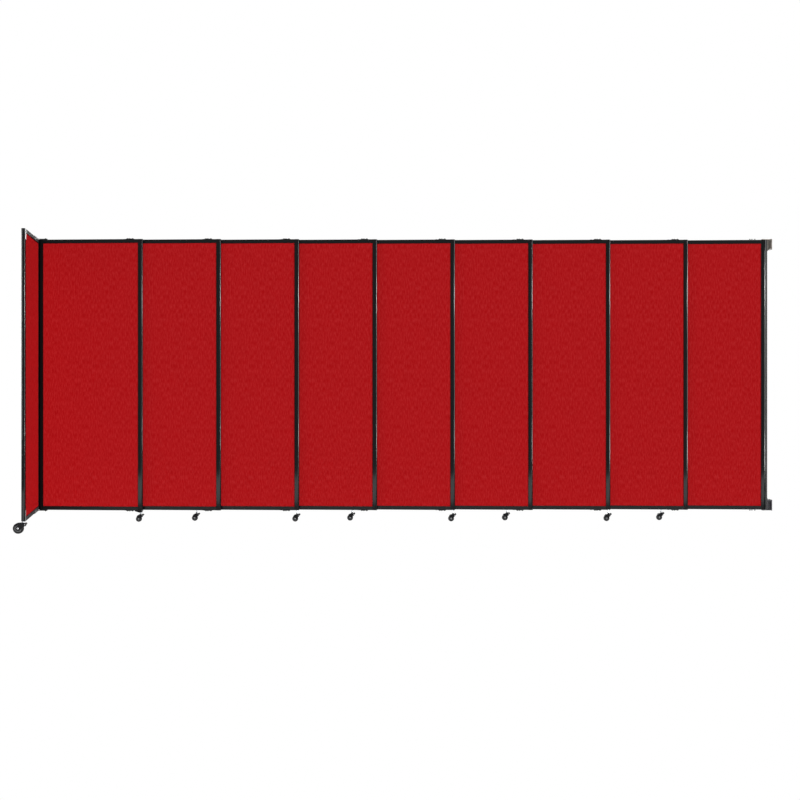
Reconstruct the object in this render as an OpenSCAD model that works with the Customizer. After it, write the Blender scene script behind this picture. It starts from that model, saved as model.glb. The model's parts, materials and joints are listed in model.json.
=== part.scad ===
// Sliding partition for a wall: nine overlapping panels that slide past each other,
// a hinged wing at the free end, swivel casters and two wall brackets.
// The run lies along X with the wall at +X, the wing points to -Y, and the floor is z = 0.

/* [Panels] */
// Width of one panel over its two posts
panel_w = 684; // [560:1:900]
// Height of a panel frame
frame_h = 1755; // [1200:1:2300]
// Thickness of the posts and rails
frame_t = 25.4; // [22:0.1:32]
// Face width of a post, round nose included
post_w = 28.5; // [26:0.5:36]
// Height of a top or bottom rail
rail_h = 23.5; // [20:0.1:40]
// Height of the frames above the floor
floor_gap = 74; // [74:1:100]
// Thickness of a fabric board
board_t = 19; // [14:0.5:21]
// Thickness of the board's edge that sits in the frame grooves
tongue_t = 9; // [6:0.5:12]
// Depth of the frame grooves
groove_d = 6; // [4:0.5:7]

/* [Layout] */
// How far a panel overlaps the next one when the run is drawn out
overlap = 180; // [165:1:260]
// Free gap between the faces of two neighbouring panels
layer_gap = 12.7; // [11:0.1:20]
// Step left between two panels when the run is pushed together
stack_step = 25; // [22:1:40]
// Turn of the wing inwards from square to the run, in degrees
wing_turn = 8.5; // [0:0.1:10]
// Gap between the wing's nose and the first panel's nose
wing_gap = 2; // [1.5:0.5:6]

/* [Extrusions] */
// Wall thickness of the hollow posts
post_wall = 2.2; // [1.6:0.1:3]
// Radius of the screw boss inside a post
boss_r = 6.2; // [5.6:0.1:7]
// Width of the slide track's mouth
mouth_w = 7; // [6.8:0.1:9]
// Depth of the lips at the slide track's mouth
lip_d = 2; // [1.5:0.1:3]
// Width of the slide track's chamber
chamber_w = 13; // [11:0.5:16]
// Depth of the slide track's chamber
chamber_d = 5; // [4:0.5:6]

/* [Brackets] */
// Thickness of the sliding brackets' plates
plate_t = 3; // [2:0.5:4]
// Length of a bracket's pad along the rail that it is bolted to
pad_l = 47; // [42:1:56]
// Distance from the panel's end to the near edge of that pad
pad_inset = 60; // [40:1:64]
// Half width of the plates across the rail
plate_half = 9; // [8:0.5:11]
// Length of the tongue over the next rail
tongue_l = 48; // [42:1:58]
// Length of a slide shoe in the track
shoe_l = 16; // [12:1:18]
// Radius of the bolts that hold plates to the tracks
bolt_r = 3; // [2.5:0.1:3.2]
// Radius of a bolt head
head_r = 5.5; // [4.5:0.5:7]
// Height of a bolt head
head_h = 3.6; // [2:0.1:4]
// Length of the strap along the wing's rail
strap_l = 230; // [140:5:300]
// Distance from the hinge to where the strap's side flanges start
flange_start = 40; // [30:1:60]
// Thickness of those side flanges
flange_t = 1.5; // [1:0.1:2.5]
// Length of the hinge plate on the first panel's rail, past its post
hinge_l = 23.5; // [22:0.5:40]

/* [Wall brackets] */
// Free gap between the last post and the wall
wall_gap = 36; // [32:1:60]
// Thickness of the wall bracket steel
wall_t = 4; // [3:0.5:6]
// Width of the wall plate
wall_plate_w = 60; // [50:1:90]
// Height of the wall plate
wall_plate_h = 70; // [60:1:110]
// Radius of the screw holes in the wall plate
wall_hole_r = 2.75; // [2:0.25:4]
// Distance of the screw holes from the plate's edges
wall_hole_inset = 10; // [8:0.5:14]
// How far the web reaches along the post
web_h = 80; // [60:1:110]
// Width of the upright between the wall brackets, along the run
wall_post_w = 9; // [8:1:20]
// Depth of that upright across the run
wall_post_d = 20; // [14:1:24]

/* [Casters] */
// Radius of the caster stems and the hinge pins
stem_r = 4; // [3:0.1:4.5]
// Length of a stem or pin inside its post
stem_in = 40; // [25:1:80]
// Diameter of the small casters' wheels
small_wheel_d = 38; // [32:1:42]
// Width of the small casters' wheels
small_wheel_w = 16; // [12:1:18]
// Trail of the small casters
small_trail = 13; // [11:0.5:15]
// Height of the small casters' fork crowns
small_crown_h = 44; // [40:1:46]
// Diameter of the wing caster's wheel
wing_wheel_d = 64; // [58:1:66]
// Width of the wing caster's wheel
wing_wheel_w = 22; // [16:1:24]
// Trail of the wing caster
wing_trail = 30; // [24:0.5:32]
// Height of the wing caster's fork crown
wing_crown_h = 61; // [58:0.5:61.5]
// Height of the foot block under the leading panel's caster post
lead_foot_h = 14; // [8:1:16]

/* [Hidden] */
$fn = 64;
panel_count = 9;
run_gap = 0.3;    // free gap between a sliding piece and what guides it
pin_gap = 0.05;   // running clearance of a pin or stem in its bore
slide_gap = 0.4;  // height of a moving plate above the rail it passes over
stop_gap = 1;     // gap left between a tongue and the next panel's pad in the closed stack
swing_gap = 1;    // gap between the last post's nose and the upright beside it
bolt_edge = 2;    // distance from a bolt's head to its plate's end
board_gap = 0.2;  // clearance of the board's edge in its groove
seam = 0.05;      // seam between two pieces that are fastened to each other
nose_r = frame_t / 2;
bore_r = stem_r + pin_gap;
z_top = floor_gap + frame_h;
layer_t = frame_t + layer_gap;
step_u = panel_w - overlap;
lean = atan2(layer_t, step_u);
pitch = norm([step_u, layer_t]);
travel = step_u - stack_step;
pivot_u = -wing_gap - nose_r;
wing_angle = wing_turn - 90;
track_d = lip_d + chamber_d;
strap_top = plate_t + slide_gap;
tongue_inset = pad_inset + pad_l + stop_gap - stack_step;
wall_pivot_u = panel_w - nose_r;
wing_reach = panel_w - 2 * nose_r;

// Caster sizes: wheel diameter and width, trail, crown height and radius, the lever's pivot, its
// tip and the radius of its round end, and the centre and radius of the hood over the wheel
small_caster = [
    small_wheel_d, small_wheel_w, small_trail, small_crown_h, 8,
    [9.5, small_crown_h - 4], [14, small_crown_h + 2], 6,
    [3 - small_trail, small_wheel_d / 2 + 11], small_wheel_d * 0.42
];
wing_caster = [
    wing_wheel_d, wing_wheel_w, wing_trail, wing_crown_h, 9,
    [11, wing_crown_h - 7], [14.5, wing_crown_h - 1], 6,
    [5 - wing_trail, wing_wheel_d / 2 + 14], wing_wheel_d * 0.34
];
// Panel and side, 0 for the left post and 1 for the right, that each small caster stands under
caster_posts = [[1, 1], [3, 0], [3, 1], [5, 0], [5, 1], [7, 0], [7, 1], [9, 0]];
fork_gap = 1;
fork_wall = 2;
rivet_h = 1.2;
axle_r = 2.5;
lever_pin_r = 1.5;
lever_r = 3.4;
pad_gap = 1.6;
pad_drop = 9;

// Places worked out in the run's own frame, whose zero is the first panel's left edge
function panel_at(i) = [(i - 1) * pitch, 0];
function on_panel(i, u, v) =
    panel_at(i) + [u * cos(lean) + v * sin(lean), -u * sin(lean) + v * cos(lean)];
wing_pivot = on_panel(1, pivot_u, 0);
wing_stem = wing_pivot + wing_reach * [cos(wing_angle), sin(wing_angle)];
wall_pivot = on_panel(panel_count, wall_pivot_u, 0);
wall_x = wall_pivot.x + nose_r + wall_gap;
function caster_half(c) = c[1] / 2 + fork_gap + fork_wall + seam + rivet_h;
min_x = wing_pivot.x - nose_r;
min_y = min(wing_stem.y - nose_r, wing_stem.y - caster_half(wing_caster));
max_y = wing_pivot.y + nose_r;
middle = [(min_x + wall_x) / 2, (min_y + max_y) / 2];
function caster_at(k) =
    on_panel(caster_posts[k - 1][0], caster_posts[k - 1][1] == 1 ? panel_w - nose_r : nose_r, 0);
function caster_seat(k) = k == 1 ? floor_gap - lead_foot_h : floor_gap;

// Moves the run's own frame to the part's frame
module in_part() {
    translate([-middle.x, -middle.y, 0]) children();
}

// Frame of one panel: u along it from its left edge, v towards its back
module in_panel(i) {
    in_part() translate([panel_at(i).x, panel_at(i).y, 0]) rotate([0, 0, -lean]) children();
}

// Frame of the wing: u from its hinge pivot to its free end
module in_wing() {
    in_part() translate([wing_pivot.x, wing_pivot.y, 0]) rotate([0, 0, wing_angle]) children();
}

// Repeats a piece drawn at the top of the frames at their bottom, upside down
module top_and_bottom() {
    children();
    translate([0, 0, z_top + floor_gap]) mirror([0, 0, 1]) children();
}

// Section of a hollow post with its round nose at u = 0
module post_section() {
    difference() {
        union() {
            translate([nose_r, 0]) circle(r = nose_r);
            translate([nose_r, -frame_t / 2]) square([post_w - nose_r, frame_t]);
        }
        difference() {
            union() {
                translate([nose_r, 0]) circle(r = nose_r - post_wall);
                translate([nose_r, -nose_r + post_wall])
                    square([post_w - groove_d - post_wall - nose_r, frame_t - 2 * post_wall]);
            }
            translate([nose_r, 0]) circle(r = boss_r);
            translate([0, -post_wall / 2]) square([post_w, post_wall]);
        }
        translate([nose_r, 0]) circle(r = bore_r);
        translate([post_w - groove_d, -tongue_t / 2 - board_gap])
            square([groove_d, tongue_t + 2 * board_gap]);
    }
}

// Section of a rail, drawn across it, with its slide track upwards
module rail_section() {
    difference() {
        translate([-frame_t / 2, -rail_h]) square([frame_t, rail_h]);
        translate([-mouth_w / 2, -track_d]) square([mouth_w, track_d]);
        translate([-chamber_w / 2, -track_d]) square([chamber_w, chamber_d]);
        translate([-tongue_t / 2 - board_gap, -rail_h]) square([tongue_t + 2 * board_gap, groove_d]);
    }
}

// Two posts and two rails of one panel, each a piece of its own
module frame() {
    color("#222526") {
        translate([0, 0, floor_gap]) linear_extrude(frame_h) post_section();
        translate([panel_w, 0, floor_gap]) mirror([1, 0, 0]) linear_extrude(frame_h) post_section();
        top_and_bottom()
            translate([post_w + seam, 0, z_top]) rotate([90, 0, 90])
                linear_extrude(panel_w - 2 * (post_w + seam)) rail_section();
    }
}

// Fabric board with a thinner edge that sits in the frame grooves
module board() {
    board_w = panel_w - 2 * post_w;
    board_h = frame_h - 2 * rail_h;
    edge = groove_d - board_gap;
    color("#AA191C") {
        translate([post_w, -board_t / 2, floor_gap + rail_h]) cube([board_w, board_t, board_h]);
        translate([post_w - edge, -tongue_t / 2, floor_gap + rail_h - edge])
            cube([board_w + 2 * edge, tongue_t, board_h + 2 * edge]);
    }
}

// Foot block that carries the leading panel's caster stem
module lead_foot() {
    foot_w = 50;
    foot_rise = 7;
    shoulder = 5;
    sole_left = nose_r + 6.5;
    sole_right = nose_r - 6;
    heel = 3;
    color("#1B1D1E") difference() {
        translate([panel_w, frame_t / 2, floor_gap - seam]) rotate([90, 0, 0]) linear_extrude(frame_t)
            polygon([
                [-foot_w, 0],
                [0, 0],
                [-heel, -lead_foot_h / 2],
                [-sole_right, -lead_foot_h],
                [-sole_left, -lead_foot_h],
                [-foot_w, -shoulder]
            ]);
        translate([panel_w - nose_r, 0, floor_gap - lead_foot_h - foot_rise])
            cylinder(r = bore_r, h = lead_foot_h + 2 * foot_rise);
    }
}

// Bar in a slide track with bolts at the places along it in us, whose heads stand on a plate
// whose top is at height z
module track_bolts(us, z, bar_l, loose) {
    bar_h = chamber_d - 1;
    bar_w = chamber_w - 4 * run_gap;
    translate([0, -bar_w / 2, -lip_d - loose - bar_h]) cube([bar_l, bar_w, bar_h]);
    for (u = us) translate([u, 0, 0]) {
        translate([0, 0, -lip_d - loose - bar_h / 2])
            cylinder(r = bolt_r, h = lip_d + loose + bar_h / 2 + z + seam);
        translate([0, 0, z + seam]) cylinder(r1 = head_r, r2 = head_r * 0.7, h = head_h);
    }
}

// Holes for such bolts through a plate of thickness t that lies at height 0
module bolt_holes(us, v, t) {
    for (u = us) translate([u, v, -1]) cylinder(r = bolt_r + board_gap, h = t + 2);
}

// Places of a pad's three bolts, two by its left end and one by its right end
function pad_bolts() =
    [bolt_edge + head_r, 2 * bolt_edge + 3 * head_r, pad_l - bolt_edge - head_r];

// Z-shaped plate bolted to one panel's rail, whose tongue slides along the next panel's rail
module slide_bracket() {
    pad_right = panel_w - pad_inset;
    pad_left = pad_right - pad_l;
    tongue_right = panel_w - tongue_inset;
    tongue_left = tongue_right - tongue_l;
    shoe_u = [tongue_left + shoe_l / 2 + bolt_edge, tongue_right - shoe_l / 2 - bolt_edge];
    bridge_v = frame_t / 2 + run_gap;
    color("#191B1C") top_and_bottom() translate([0, 0, z_top]) {
        difference() {
            union() {
                translate([pad_left, -plate_half, 0])
                    cube([pad_l, plate_half + frame_t / 2, strap_top]);
                translate([tongue_left, bridge_v, slide_gap])
                    cube([pad_right - tongue_left, layer_gap - 2 * run_gap, plate_t]);
                translate([tongue_left, bridge_v, slide_gap])
                    cube([tongue_l, layer_t + plate_half - bridge_v, plate_t]);
                translate([pad_left, 0, slide_gap]) cube([pad_l, bridge_v + run_gap, plate_t]);
            }
            translate([pad_left, 0, 0]) bolt_holes(pad_bolts(), 0, strap_top);
            bolt_holes(shoe_u, layer_t, strap_top);
        }
        translate([pad_left, 0, 0]) track_bolts(pad_bolts(), strap_top, pad_l, 0);
        for (u = shoe_u) translate([u - shoe_l / 2, layer_t, 0])
            track_bolts([shoe_l / 2], strap_top, shoe_l, run_gap);
    }
}

// Stop plates on the last panel's rails, where the other panels' pads would be
module end_stops() {
    color("#191B1C") top_and_bottom() translate([panel_w - pad_inset - pad_l, 0, z_top + seam]) {
        difference() {
            translate([0, -plate_half, 0]) cube([pad_l, 2 * plate_half, strap_top]);
            bolt_holes(pad_bolts(), 0, strap_top);
        }
        track_bolts(pad_bolts(), strap_top, pad_l, 2 * seam);
    }
}

// Hinge plates on the first panel, with the pins that carry the wing
module wing_hinge_plates() {
    pad_u = 2;
    bar_l = 20;
    plate_end = post_w + hinge_l;
    bolt_u = plate_end - bar_l / 2;
    color("#191B1C") top_and_bottom() translate([0, 0, z_top]) {
        difference() {
            union() {
                translate([pad_u, -plate_half, 0])
                    cube([plate_end - pad_u, 2 * plate_half, strap_top + plate_t]);
                translate([pivot_u, -plate_half, strap_top])
                    cube([pad_u - pivot_u, 2 * plate_half, plate_t]);
                translate([pivot_u, 0, strap_top]) cylinder(r = plate_half, h = plate_t);
            }
            translate([pivot_u, 0, 0]) cylinder(r = bore_r, h = 3 * plate_t);
            bolt_holes([bolt_u], 0, strap_top + plate_t);
        }
        translate([plate_end - bar_l, 0, 0])
            track_bolts([bar_l / 2], strap_top + plate_t, bar_l, 0);
        translate([pivot_u, 0, 0]) pivot_pin(strap_top + plate_t);
    }
}

// Headed pin that stands in a plate whose top is at height z and reaches into a post
module pivot_pin(z) {
    translate([0, 0, -stem_in]) cylinder(r = stem_r, h = stem_in + z + 2 * seam);
    translate([0, 0, z + seam]) cylinder(r = stem_r + 2.5, h = plate_t / 2);
}

// Straps along the wing's rails that turn on the hinge pins
module wing_hinge_straps() {
    strap_half = plate_half - 1;
    bar_l = 20;
    bar_at = [flange_start + 10, (flange_start + strap_l) / 2 - bar_l / 2, strap_l - bar_l - 8];
    color("#191B1C") top_and_bottom() translate([0, 0, z_top]) {
        difference() {
            union() {
                translate([0, -strap_half, 0]) cube([strap_l, 2 * strap_half, plate_t]);
                cylinder(r = strap_half, h = plate_t);
                rotate([90, 0, 90]) translate([0, 0, flange_start])
                    linear_extrude(strap_l - flange_start) cap_section();
            }
            translate([0, 0, -1]) cylinder(r = bore_r, h = plate_t + 2);
            for (u = bar_at) translate([u, 0, 0]) bolt_holes([bar_l / 2], 0, plate_t);
        }
        for (u = bar_at) translate([u, 0, 0]) track_bolts([bar_l / 2], plate_t, bar_l, 0);
    }
}

// Section of a strap's cap, which wraps round the sides of a rail
module cap_section() {
    inner = frame_t / 2 + seam;
    outer = inner + flange_t;
    difference() {
        translate([-outer, -rail_h]) square([2 * outer, rail_h + plate_t]);
        translate([-inner, -2 * rail_h]) square([2 * inner, 2 * rail_h]);
    }
}

// Wall bracket at the top of the last post: wall plate, web, ear and pivot pin
module wall_bracket() {
    plate_top = z_top + slide_gap + wall_t;
    web_x = nose_r + swing_gap + wall_post_w + seam;
    plate_x = nose_r + wall_gap - wall_t;
    hole_y = wall_plate_w / 2 - wall_hole_inset;
    translate([wall_pivot.x, wall_pivot.y, z_top]) pivot_pin(slide_gap + wall_t);
    translate([wall_pivot.x, wall_pivot.y, 0]) difference() {
        union() {
            translate([plate_x, -wall_plate_w / 2, plate_top - wall_plate_h])
                cube([wall_t, wall_plate_w, wall_plate_h]);
            translate([0, wall_t / 2, 0]) rotate([90, 0, 0]) linear_extrude(wall_t)
                polygon([
                    [web_x, plate_top],
                    [plate_x, plate_top],
                    [plate_x, plate_top - wall_plate_h + wall_hole_inset],
                    [web_x, plate_top - web_h]
                ]);
            translate([0, 0, plate_top - wall_t]) {
                translate([0, -nose_r, 0]) cube([plate_x, 2 * nose_r, wall_t]);
                cylinder(r = nose_r, h = wall_t);
            }
        }
        translate([0, 0, plate_top - 2 * wall_t]) cylinder(r = bore_r, h = 3 * wall_t);
        for (y = [-hole_y, hole_y], z = [wall_hole_inset, wall_plate_h - wall_hole_inset])
            translate([plate_x - 1, y, plate_top - z]) rotate([0, 90, 0])
                cylinder(r = wall_hole_r, h = wall_t + 2);
    }
}

module wall_bracket_upper() {
    color("#6E706F") in_part() wall_bracket();
}

module wall_bracket_lower() {
    color("#191B1C") in_part() translate([0, 0, z_top + floor_gap]) mirror([0, 0, 1]) wall_bracket();
}

// Hollow upright that joins the two wall brackets beside the last panel's nose
module wall_post() {
    foot_z = floor_gap - slide_gap + seam;
    wall = 1.6;
    color("#191B1C") in_part()
        translate([wall_pivot.x + nose_r + swing_gap, wall_pivot.y, foot_z])
            linear_extrude(z_top + floor_gap - 2 * foot_z) difference() {
                translate([0, -wall_post_d / 2]) square([wall_post_w, wall_post_d]);
                translate([wall, -wall_post_d / 2 + wall])
                    square([wall_post_w - 2 * wall, wall_post_d - 2 * wall]);
            }
}

// Points of an arc about a centre, from one angle to another
function arc(centre, r, from, to, steps) = [
    for (n = [0:steps])
        let (angle = from + (to - from) * n / steps) centre + r * [cos(angle), sin(angle)]
];

// Outline of a bar with round ends of different radii
module link_outline(a, ra, b, rb) {
    along = atan2(b.y - a.y, b.x - a.x);
    tilt = acos((ra - rb) / norm(b - a));
    polygon(concat(
        arc(a, ra, along + tilt, along + 360 - tilt, 14),
        arc(b, rb, along - tilt, along + tilt, 10)
    ));
}

// Draws an outline of the caster's side view as a piece of the given width
module side_extrude(width) {
    translate([0, width / 2, 0]) rotate([90, 0, 0]) linear_extrude(width) children();
}

// Fork of a caster c with its stem, whose collar meets the frame at height seat. Its cheeks are a hood
// that arches over the hub, and a strap down to the axle.
module caster_fork(c, seat) {
    wheel_r = c[0] / 2;
    axle = [-c[2], wheel_r];
    inner = c[1] + 2 * fork_gap;
    outer = inner + 2 * fork_wall;
    crown = [0, c[3]];
    crown_top = c[3] + c[4];
    collar_h = 3;
    stem_sunk = 2;
    lever_bay = c[4] - 1.5;
    arch_r = wheel_r * 0.6;
    skirt_z = wheel_r * 1.45;
    color("#17191A") difference() {
        side_extrude(outer) {
            difference() {
                link_outline(c[8], c[9], crown, c[4]);
                translate(axle) circle(r = arch_r);
                translate([-2 * c[0], 0]) square([4 * c[0], skirt_z]);
            }
            link_outline(axle, wheel_r * 0.4, crown, c[4]);
            link_outline(crown, c[4] * 0.9, c[5], c[4] * 0.55);
            link_outline(axle, wheel_r * 0.35, c[5], c[4] * 0.5);
        }
        side_extrude(inner) {
            translate([-2 * c[0], -1]) square([4 * c[0], c[3] + 1]);
            translate([lever_bay, 0]) square([2 * c[0], 2 * c[0]]);
            translate(axle) circle(r = wheel_r + fork_gap);
        }
        side_extrude(2 * outer) {
            translate(axle) circle(r = axle_r + pin_gap);
            translate(c[5]) circle(r = lever_pin_r + pin_gap);
        }
    }
    color("#B9BCC0") {
        translate([0, 0, crown_top - stem_sunk])
            cylinder(r = stem_r, h = seat + stem_in - crown_top + stem_sunk);
        translate([0, 0, seat - run_gap - collar_h]) cylinder(r = stem_r + 3, h = collar_h);
        for (pin = [[axle, axle_r], [c[5], lever_pin_r]]) side_pin(pin[0], pin[1], outer);
    }
}

// Riveted pin across a fork, whose heads stand on the cheeks' outer faces
module side_pin(at, r, width) {
    side_extrude(width + 2 * seam) translate(at) circle(r = r);
    for (side = [-1, 1])
        translate([0, side * (width / 2 + seam + rivet_h / 2), 0]) side_extrude(rivet_h)
            translate(at) circle(r = r + 1.2);
}

// Wheel of a caster c: a round-edged tyre on a hub that turns on the axle
module caster_wheel(c) {
    wheel_r = c[0] / 2;
    half = c[1] / 2;
    round_r = half * 0.45;
    rim_r = wheel_r * 0.66;
    boss_out = 0.6;
    web_half = half * 0.55;
    bore = axle_r + pin_gap;
    translate([-c[2], 0, wheel_r]) rotate([90, 0, 0]) {
        color("#161616") rotate_extrude()
            polygon(concat(
                [[rim_r + seam, half], [rim_r + seam, -half]],
                arc([wheel_r - round_r, round_r - half], round_r, -90, 0, 5),
                arc([wheel_r - round_r, half - round_r], round_r, 0, 90, 5)
            ));
        color("#9A9A98") rotate_extrude() {
            translate([bore, -web_half]) square([rim_r - bore, 2 * web_half]);
            translate([bore, -half - boss_out]) square([3, c[1] + 2 * boss_out]);
        }
    }
}

// Brake lever of a caster c, with its pad clear of the tread
module caster_brake(c) {
    wheel_r = c[0] / 2;
    pad_z = c[5].y - pad_drop;
    rim_x = -c[2] + sqrt(pow(wheel_r, 2) - pow(pad_z - wheel_r, 2));
    pad_x = rim_x + pad_gap;
    width = c[1];
    color("#202223") difference() {
        side_extrude(width) {
            link_outline(c[5], lever_r, c[6], c[7]);
            translate([pad_x, pad_z]) square([c[5].x + 2 - pad_x, pad_drop]);
        }
        side_extrude(2 * width) translate(c[5]) circle(r = lever_pin_r + pin_gap);
    }
}

// Places a small caster piece under its post
module at_caster(k) {
    in_part() translate([caster_at(k).x, caster_at(k).y, 0]) children();
}

// Places a wing caster piece under the wing's free post
module at_wing_caster() {
    in_part() translate([wing_stem.x, wing_stem.y, 0]) children();
}

wall_bracket_upper();
wall_bracket_lower();
wall_post();
for (i = [1:panel_count]) {
    in_panel(i) {
        frame();
        if (i == 1) lead_foot();
        if (i == panel_count) end_stops();
    }
    in_panel(i) board();
}
for (i = [1:panel_count - 1])
    in_panel(i) slide_bracket();
in_wing() translate([-nose_r, 0, 0]) frame();  // wing_frame
in_wing() translate([-nose_r, 0, 0]) board();  // wing_board
in_panel(1) wing_hinge_plates();
in_wing() wing_hinge_straps();
for (k = [1:len(caster_posts)]) {
    at_caster(k) caster_fork(small_caster, caster_seat(k));
    at_caster(k) caster_wheel(small_caster);
    at_caster(k) caster_brake(small_caster);
}
at_wing_caster() caster_fork(wing_caster, floor_gap);  // wing_caster_fork
at_wing_caster() caster_wheel(wing_caster);  // wing_caster_wheel
at_wing_caster() caster_brake(wing_caster);  // wing_caster_brake
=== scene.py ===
import json
import math

import bpy
from mathutils import Matrix, Vector


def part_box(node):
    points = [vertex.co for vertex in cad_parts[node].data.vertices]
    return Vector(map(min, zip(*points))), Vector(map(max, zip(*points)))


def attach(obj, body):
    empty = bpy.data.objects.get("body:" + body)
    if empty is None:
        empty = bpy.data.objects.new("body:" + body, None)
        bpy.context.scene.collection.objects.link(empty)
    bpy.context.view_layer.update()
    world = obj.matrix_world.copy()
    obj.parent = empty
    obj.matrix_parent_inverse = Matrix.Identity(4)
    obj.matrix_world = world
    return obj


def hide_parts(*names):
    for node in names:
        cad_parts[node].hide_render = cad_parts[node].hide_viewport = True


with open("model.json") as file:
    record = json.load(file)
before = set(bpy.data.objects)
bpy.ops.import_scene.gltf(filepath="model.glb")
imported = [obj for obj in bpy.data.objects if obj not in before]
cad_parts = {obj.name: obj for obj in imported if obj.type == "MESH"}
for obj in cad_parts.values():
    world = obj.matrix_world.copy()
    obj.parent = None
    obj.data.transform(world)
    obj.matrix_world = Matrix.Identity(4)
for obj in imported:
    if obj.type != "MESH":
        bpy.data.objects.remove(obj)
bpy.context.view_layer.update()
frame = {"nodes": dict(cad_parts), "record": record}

bodyOf = {node: body for body, nodes in frame["record"]["behaviour"]["bodies"].items() for node in nodes}
print("frame loaded:", len(frame["nodes"]), "nodes")


def toLinear(hexColour):
    # sRGB hex to the linear values that shaders work in
    channels = [int(hexColour[i:i + 2], 16) / 255 for i in (1, 3, 5)]
    return [c / 12.92 if c <= 0.04045 else ((c + 0.055) / 1.055) ** 2.4 for c in channels] + [1.0]


def addNode(tree, kind, settings=None, links=None):
    # one node: settings by socket name, socket number or property, and links as {input: output socket}
    node = tree.nodes.new(kind)
    for name, value in (settings or {}).items():
        if name == "stops":
            ramp = node.color_ramp.elements
            while len(ramp) < len(value):
                ramp.new(0.5)
            for element, (spot, colour) in zip(ramp, value):
                element.position, element.color = spot, toLinear(colour)
        elif isinstance(name, int) or name in node.inputs:
            node.inputs[name].default_value = value
        else:
            setattr(node, name, value)
    for name, socket in (links or {}).items():
        tree.links.new(socket, node.inputs[name])
    return node


def startMaterial(name, settings):
    # an empty principled material, whose plain values go straight on the shader
    material = bpy.data.materials.new(name)
    material.use_nodes = True
    shader = material.node_tree.nodes["Principled BSDF"]
    for socket, value in settings.items():
        shader.inputs[socket].default_value = value
    return material, material.node_tree, shader


def finishSurface(tree, shader, look, stops, tone, height):
    # colour that follows one pattern, and bump that follows the same one or another
    colour = addNode(tree, "ShaderNodeValToRGB", {"stops": list(stops)}, {"Fac": tone})
    tree.links.new(colour.outputs["Color"], shader.inputs["Base Color"])
    bump = addNode(tree, "ShaderNodeBump", {"Strength": look["bump"], "Distance": look["bumpMm"] / 1000},
                   {"Height": height})
    tree.links.new(bump.outputs["Normal"], shader.inputs["Normal"])


# Woven polyester stretched over a board: matt, no shine, short upright slubs a little lighter and darker
fabric = {
    "dark": "#A30F13", "middle": "#AA191C", "light": "#B12326",
    "stops": (0.36, 0.53, 0.70), "roughness": 0.95, "specular": 0.0,
    "threadMm": 2.4,  # real threads are 0.8 mm apart, too fine to show: drawn three times as coarse
    "stripe": 0.314,  # the wave texture's scale for one stripe per thread
    "uneven": {"Distortion": 0.6, "Detail": 1.0, "Detail Scale": 1.5},
    "slubMm": 7, "slubLengthMm": 30, "weaveShare": 0.12, "bump": 0.35, "bumpMm": 0.25,
}


def makeFabric():
    material, tree, shader = startMaterial("wovenPolyester", {
        "Roughness": fabric["roughness"], "Specular IOR Level": fabric["specular"],
    })
    cloth = addNode(tree, "ShaderNodeUVMap", {"uv_map": "cloth"}).outputs["UV"]
    thread = addNode(tree, "ShaderNodeMapping", {"Scale": [1000 / fabric["threadMm"]] * 3},
                     {"Vector": cloth})
    warp, weft = [addNode(tree, "ShaderNodeTexWave", {
        "bands_direction": direction, "Scale": fabric["stripe"], **fabric["uneven"],
    }, {"Vector": thread.outputs["Vector"]}) for direction in "XY"]
    weave = addNode(tree, "ShaderNodeMath", {"operation": "MULTIPLY"},
                    {0: warp.outputs["Fac"], 1: weft.outputs["Fac"]})
    slub = addNode(tree, "ShaderNodeMapping", {
        "Scale": (1000 / fabric["slubMm"], 1000 / fabric["slubLengthMm"], 1),
    }, {"Vector": cloth})
    slubs = addNode(tree, "ShaderNodeTexNoise", {"Scale": 1.0, "Detail": 2.0, "Roughness": 0.6},
                    {"Vector": slub.outputs["Vector"]})
    tone = addNode(tree, "ShaderNodeMath", {"operation": "MULTIPLY_ADD", 1: fabric["weaveShare"]},
                   {0: weave.outputs[0], 2: slubs.outputs["Fac"]})
    colours = (fabric["dark"], fabric["middle"], fabric["light"])
    finishSurface(tree, shader, fabric, zip(fabric["stops"], colours), tone.outputs[0], weave.outputs[0])
    return material


# Black anodised aluminium, extruded: satin, with fine die lines that run the length of each piece. One black
# for all; the uprights are the smoothest, so they show sharp streaks of light, and the rails are duller.
dieLines = {
    "dark": "#0B0C0D", "light": "#101213", "specular": 0.1,
    "lineMm": 1.4,  # die lines are finer than this and are drawn coarser so that they show
    "lineLengthMm": 700, "bump": 0.05, "bumpMm": 0.1,
}
anodised = {
    "anodisedUpright": {"along": 2, "roughness": 0.11},
    "anodisedRail": {"along": 0, "roughness": 0.3},
    "anodisedWingRail": {"along": 1, "roughness": 0.6},
}
fade = (0.35, 0.65)  # where a noise pattern is all dark and where it is all light


def makeAnodised(name):
    look = anodised[name]
    material, tree, shader = startMaterial(name, {
        "Roughness": look["roughness"], "Specular IOR Level": dieLines["specular"],
    })
    place = addNode(tree, "ShaderNodeTexCoord").outputs["Object"]
    size = [dieLines["lineMm"]] * 3
    size[look["along"]] = dieLines["lineLengthMm"]
    stretched = addNode(tree, "ShaderNodeMapping", {"Scale": [1000 / length for length in size]},
                        {"Vector": place})
    lines = addNode(tree, "ShaderNodeTexNoise", {"Scale": 1.0, "Detail": 2.0, "Roughness": 0.5},
                    {"Vector": stretched.outputs["Vector"]})
    pattern = lines.outputs["Fac"]
    finishSurface(tree, shader, dieLines, zip(fade, (dieLines["dark"], dieLines["light"])), pattern, pattern)
    return material


# The other finishes, each with the grain that its making leaves. Sprayed and baked powder coat has an even
# half shine, broken by orange peel.
powderCoat = {"metallic": 0.0, "roughness": (0.42, 0.52), "specular": 0.35,
              "grainMm": 1.6, "bump": 0.25, "bumpMm": 0.12}
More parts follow.
